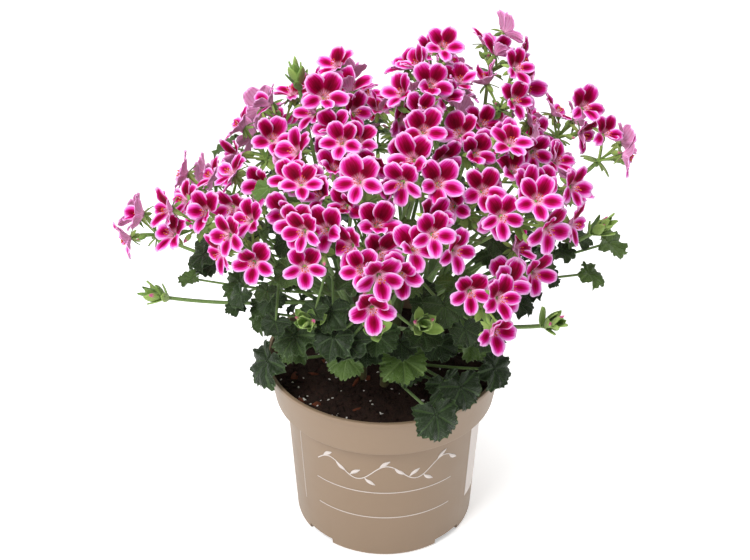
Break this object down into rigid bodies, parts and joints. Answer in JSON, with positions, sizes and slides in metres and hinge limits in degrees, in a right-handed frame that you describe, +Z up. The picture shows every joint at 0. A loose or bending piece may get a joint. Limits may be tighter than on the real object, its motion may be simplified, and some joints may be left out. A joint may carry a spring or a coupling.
{
  "type": "potted angel pelargonium",
  "caption": "Flowering balcony plant with lobed leaves and domed heads of two-tone blooms, standing in a round plastic nursery pot of soil.",
  "frame": {"origin": "middle of the flat underside of the pot", "axes": "+Z up from the pot's foot through the plant, -Y towards the front, where most blooms face"},
  "size_m": [0.3443, 0.3077, 0.3793],
  "materials": {
    "pot_plastic": "smooth moulded taupe plastic, slightly satin",
    "soil": "moist crumbly potting soil with white grains and bits of bark",
    "leaf_green": "matt green leaves and stems with fine veins, lighter on young growth",
    "petal_pink": "thin soft petals, pale pink edge, magenta band and dark crimson blotch"
  },
  "bodies": {
    "root": {"pot": "pot_plastic", "soil": "soil", "leafy_stem_1": "leaf_green", "leafy_stem_2": "leaf_green", "leafy_stem_3": "leaf_green", "leafy_stem_4": "leaf_green", "leafy_stem_5": "leaf_green", "leafy_stem_6": "leaf_green", "leafy_stem_7": "leaf_green", "leafy_stem_8": "leaf_green", "leafy_stem_9": "leaf_green", "flower_head_far_left": "petal_pink", "flower_head_left_low": "petal_pink", "flower_head_left_side": "petal_pink", "flower_head_left_mid": "petal_pink", "flower_head_left_front": "petal_pink", "flower_head_shoulder": "petal_pink", "flower_head_peak_left": "petal_pink", "flower_head_peak_mid": "petal_pink", "flower_head_under_peak": "petal_pink", "flower_head_upper_left": "petal_pink", "flower_head_big_left": "petal_pink", "flower_head_ridge_left": "petal_pink", "flower_head_middle_left": "petal_pink", "flower_head_front_left": "petal_pink", "flower_head_centre": "petal_pink", "flower_head_peak_right": "petal_pink", "flower_head_peak_top": "petal_pink", "flower_head_right_top": "petal_pink", "flower_head_crown": "petal_pink", "flower_head_crown_left": "petal_pink", "flower_head_crown_right": "petal_pink", "flower_head_right_upper": "petal_pink", "flower_head_right_ridge": "petal_pink", "flower_head_right_shoulder": "petal_pink", "flower_head_far_right": "petal_pink", "flower_head_middle": "petal_pink", "flower_head_right_mid": "petal_pink", "flower_head_right_dip": "petal_pink", "flower_head_mid_front": "petal_pink", "flower_head_right_big": "petal_pink", "flower_head_right_front": "petal_pink", "flower_head_centre_right": "petal_pink", "flower_head_lowest_left": "petal_pink", "flower_head_lowest_right": "petal_pink", "flower_head_low_right": "petal_pink", "flower_head_right_gap": "petal_pink", "flower_head_back_right_low": "petal_pink", "flower_head_back_low": "petal_pink", "flower_head_back_mid_low": "petal_pink", "flower_head_back_left_low": "petal_pink", "flower_head_back_side_left": "petal_pink", "flower_head_back_right": "petal_pink", "flower_head_back_high_right": "petal_pink", "flower_head_back_high_left": "petal_pink", "flower_head_back_left": "petal_pink", "flower_head_crown_back": "petal_pink", "flower_head_crown_back_left": "petal_pink"}
  },
  "joints": []
}
